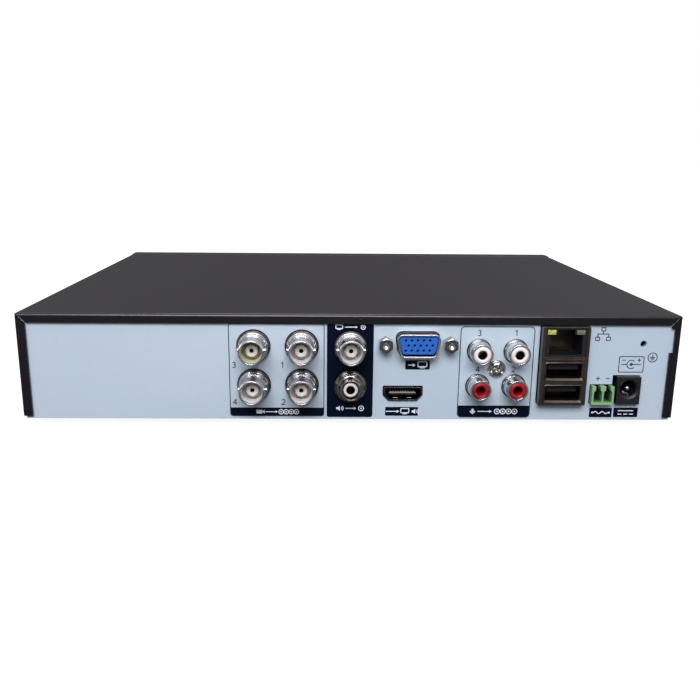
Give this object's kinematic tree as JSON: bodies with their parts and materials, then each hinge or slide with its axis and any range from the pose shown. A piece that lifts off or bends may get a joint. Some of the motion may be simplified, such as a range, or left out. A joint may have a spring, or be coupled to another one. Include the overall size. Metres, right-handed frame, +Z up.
{
  "type": "digital video recorder",
  "caption": "Low steel box with a lift-off cover, a rear panel of coaxial, phono, monitor, network and power sockets, and a hard disk inside.",
  "frame": {"origin": "on the standing surface, under the middle of the overall box", "axes": "+X to the right seen from the front, +Y towards the rear connectors, +Z up"},
  "size_m": [0.2592, 0.2224, 0.045],
  "materials": {
    "arm_metal": "machined",
    "black_aluminium": "black anodised",
    "black_moulding": "moulded",
    "black_screw": "black zinc",
    "blue_insert": "moulded",
    "brass_post": "brass",
    "capacitor_sleeve": "shrink sleeve",
    "cast_base": "cast",
    "cell": "satin",
    "ceramic_parts": "ceramic",
    "chip": "resin",
    "clear_guide": "clear",
    "dark_board": "solder resist",
    "drive_lid": "satin",
    "front_moulding": "gloss black",
    "gold": "gold plate",
    "green_board": "solder resist",
    "green_header": "moulded",
    "grey_ribbon": "ribbon",
    "ivory_insulator": "moulded",
    "ivory_socket": "moulded",
    "led": "clear resin",
    "light_window": "tinted resin",
    "magnet": "plated",
    "mirror_disk": "polished",
    "nickel": "nickel plate",
    "red_cable": "sheath",
    "red_insert": "moulded",
    "red_lens": "smoked red",
    "rubber": "matt",
    "shield": "tinned, dull",
    "steel_cover": "matt charcoal paint",
    "steel_panel": "satin silver-blue paint",
    "white_insert": "moulded",
    "yellow_cable": "sheath",
    "zinc_screw": "bright zinc"
  },
  "bodies": {
    "case": {"chassis": "steel_panel", "cover_screws": "black_screw", "rubber_feet": "rubber", "front_bezel": "front_moulding", "window_lens": "red_lens", "light_guides": "clear_guide", "front_board": "green_board", "front_leds": "led", "ir_receiver": "chip", "front_cable": "grey_ribbon", "m3_screws": "zinc_screw", "standoffs": "brass_post", "main_board": "green_board", "chips": "chip", "heatsink": "black_aluminium", "capacitors": "capacitor_sleeve", "surface_parts": "ceramic_parts", "coin_cell_holder": "black_moulding", "coin_cell": "cell", "buzzer": "black_moulding", "board_sockets": "ivory_socket", "sata_data_cable": "red_cable", "hdd_power_cable": "yellow_cable", "video_in_housing": "black_moulding", "bnc_shell_1": "nickel", "bnc_shell_2": "nickel", "bnc_shell_3": "nickel", "bnc_shell_4": "nickel", "av_out_housing": "black_moulding", "bnc_shell_out": "nickel", "phono_shell_out": "nickel", "jack_insulators": "ivory_insulator", "jack_contacts": "gold", "display_housing": "black_moulding", "vga_shell": "nickel", "vga_insert": "blue_insert", "vga_jackscrews": "nickel", "hd_out_shell": "nickel", "hd_out_tongue": "black_moulding", "audio_in_housing": "black_moulding", "phono_shells": "nickel", "phono_inserts_white": "white_insert", "phono_inserts_red": "red_insert", "audio_in_screw": "zinc_screw", "lan_usb_shield": "shield", "lan_usb_core": "black_moulding", "lan_usb_contacts": "gold", "lan_lights": "light_window", "serial_header": "green_header", "dc_jack_body": "black_moulding", "power_and_serial_pins": "nickel", "hdd_base": "cast_base", "hdd_cover": "drive_lid", "hdd_magnets": "magnet", "hdd_board": "dark_board", "hdd_cover_screws": "black_screw", "hdd_mount_screws": "zinc_screw"},
    "cover": {"top_cover": "steel_cover"},
    "platter": {"hdd_platter": "mirror_disk"},
    "head_arm": {"hdd_actuator": "arm_metal"}
  },
  "joints": [
    {"name": "cover_lift", "type": "slide", "parent": "case", "child": "cover", "axis": [0, 0, 1], "range_m": [0, 0.07]},
    {"name": "platter_spin", "type": "hinge", "parent": "case", "child": "platter", "pos_m": [0.0718, -0.04395, 0.0238], "axis": [0, 0, 1], "continuous": true},
    {"name": "arm_swing", "type": "hinge", "parent": "case", "child": "head_arm", "pos_m": [0.015, -0.06475, 0.0238], "axis": [0, 0, -1], "range_deg": [0, 37]}
  ]
}
